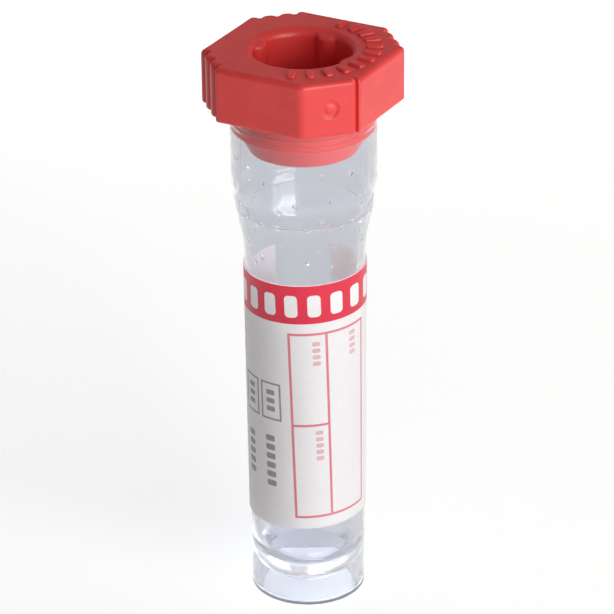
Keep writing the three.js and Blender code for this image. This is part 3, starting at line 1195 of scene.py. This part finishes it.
def floor_material(sizes):
    """A pale floor that keeps the tube's shadow and turns white away from it."""
    material, tree, shader = new_material("studio_floor")
    place = add_node(tree, "NewGeometry").outputs["Position"]
    away = add_node(tree, "VectorMath", {0: place}, operation="LENGTH").outputs["Value"]
    camera = map_range(
        tree, away, FLOOR_NEAR, FLOOR_FAR, FLOOR_DIM, FLOOR_BRIGHT, smooth=True
    )
    inputs = {
        "Base Color": opaque(sizes.floor),
        "Roughness": 0.9,
        "Specular IOR Level": 0.0,
        "Emission Color": WHITE,
        "Emission Strength": seen_as(tree, 0.0, camera, FLOOR_GLOSSY, FLOOR_THROUGH),
    }
    set_inputs(tree, shader, inputs)
    return material


def add_world(scene, sizes):
    """White behind everything that is seen, and an even fill light for the rest."""
    world = bpy.data.worlds.new("studio_world")
    scene.world = world
    world.use_nodes = True
    tree = world.node_tree
    strength = seen_as(tree, sizes.fill, 1.0, WORLD_GLOSSY, WORLD_THROUGH)
    set_inputs(tree, tree.nodes["Background"], {"Color": WHITE, "Strength": strength})


def around(azimuth, distance, height):
    return Vector((distance * cos(azimuth), distance * sin(azimuth), height))


def add_lamp(name, place, target, size, power):
    data = bpy.data.lights.new(name, "AREA")
    data.shape = "RECTANGLE"
    data.size, data.size_y = size
    data.energy = power
    data.color = LAMP_COLOUR
    lamp = bpy.data.objects.new(name, data)
    lamp.location = place
    lamp.rotation_euler = (target - place).to_track_quat("-Z", "Y").to_euler()
    bpy.context.scene.collection.objects.link(lamp)
    return lamp


def add_camera(scene, sizes):
    data = bpy.data.cameras.new("camera")
    data.sensor_width = SENSOR_WIDTH
    data.lens = sizes.lens
    data.clip_start = 10 * MM
    camera = bpy.data.objects.new("camera", data)
    place = around(sizes.camera_azimuth, sizes.camera_distance, sizes.camera_height)
    turn = sizes.camera_azimuth + pi / 2 - sizes.camera_turn
    camera.matrix_world = (
        Matrix.Translation(place)
        @ Matrix.Rotation(turn, 4, "Z")
        @ Matrix.Rotation(pi / 2 - sizes.camera_tilt, 4, "X")
        @ Matrix.Rotation(sizes.camera_roll, 4, "Z")
    )
    scene.collection.objects.link(camera)
    scene.camera = camera


class COLLECTION_TUBE_OT_studio(bpy.types.Operator):
    """Build the floor, the soft lamps, the white background and the camera"""

    bl_idname = "collection_tube.add_studio"
    bl_label = "Studio"

    def execute(self, context):
        scene = context.scene
        sizes = scene.collection_tube_studio
        low, high = -FLOOR_REACH, FLOOR_REACH
        corners = [(low, low, 0.0), (high, low, 0.0), (high, high, 0.0), (low, high, 0.0)]
        floor = bpy.data.objects.new("studio_floor", new_mesh("floor", corners, [(0, 1, 2, 3)]))
        scene.collection.objects.link(floor)
        floor.data.materials.append(floor_material(sizes))
        add_world(scene, sizes)
        middle = Vector((0.0, 0.0, CAP_HIGH.z / 2))
        for name, turn, distance, height, size, power, part in LAMPS:
            place = around(sizes.camera_azimuth + radians(turn), distance, height)
            lamp = add_lamp(name, place, middle, size, getattr(sizes, power) * part)
            lamp.visible_glossy = name == "key_lamp"
        add_camera(scene, sizes)
        scene.view_settings.view_transform = "Standard"
        for kind in ("max", "transmission", "glossy", "transparent_max"):
            setattr(scene.cycles, kind + "_bounces", BOUNCES)
        return {"FINISHED"}


# ----- Panel and registration -----

SETTINGS = {
    "collection_tube_tube": TubeSettings,
    "collection_tube_cap": CapSettings,
    "collection_tube_label": LabelSettings,
    "collection_tube_studio": StudioSettings,
}

OPERATORS = (
    COLLECTION_TUBE_OT_tube,
    COLLECTION_TUBE_OT_cap,
    COLLECTION_TUBE_OT_marks,
    COLLECTION_TUBE_OT_label,
    COLLECTION_TUBE_OT_studio,
)


class COLLECTION_TUBE_PT_panel(bpy.types.Panel):
    """Lists the pieces of the tube and the sizes that shape them"""

    bl_label = "Blood Collection Tube"
    bl_idname = "COLLECTION_TUBE_PT_panel"
    bl_space_type = "VIEW_3D"
    bl_region_type = "UI"
    bl_category = "Collection Tube"

    def draw(self, context):
        for operator in OPERATORS:
            self.layout.operator(operator.bl_idname)
        for name, settings in SETTINGS.items():
            box = self.layout.box()
            box.label(text=settings.__name__.removesuffix("Settings"))
            for entry in settings.__annotations__:
                box.prop(getattr(context.scene, name), entry)


def register():
    for name, settings in SETTINGS.items():
        bpy.utils.register_class(settings)
        setattr(bpy.types.Scene, name, PointerProperty(type=settings))
    for cls in (*OPERATORS, COLLECTION_TUBE_PT_panel):
        bpy.utils.register_class(cls)


def unregister():
    for cls in reversed((*OPERATORS, COLLECTION_TUBE_PT_panel)):
        bpy.utils.unregister_class(cls)
    for name, settings in SETTINGS.items():
        delattr(bpy.types.Scene, name)
        bpy.utils.unregister_class(settings)


def main():
    register()
    for operator in OPERATORS:
        getattr(bpy.ops.collection_tube, operator.bl_idname.split(".")[1])()


if __name__ == "__main__":
    main()
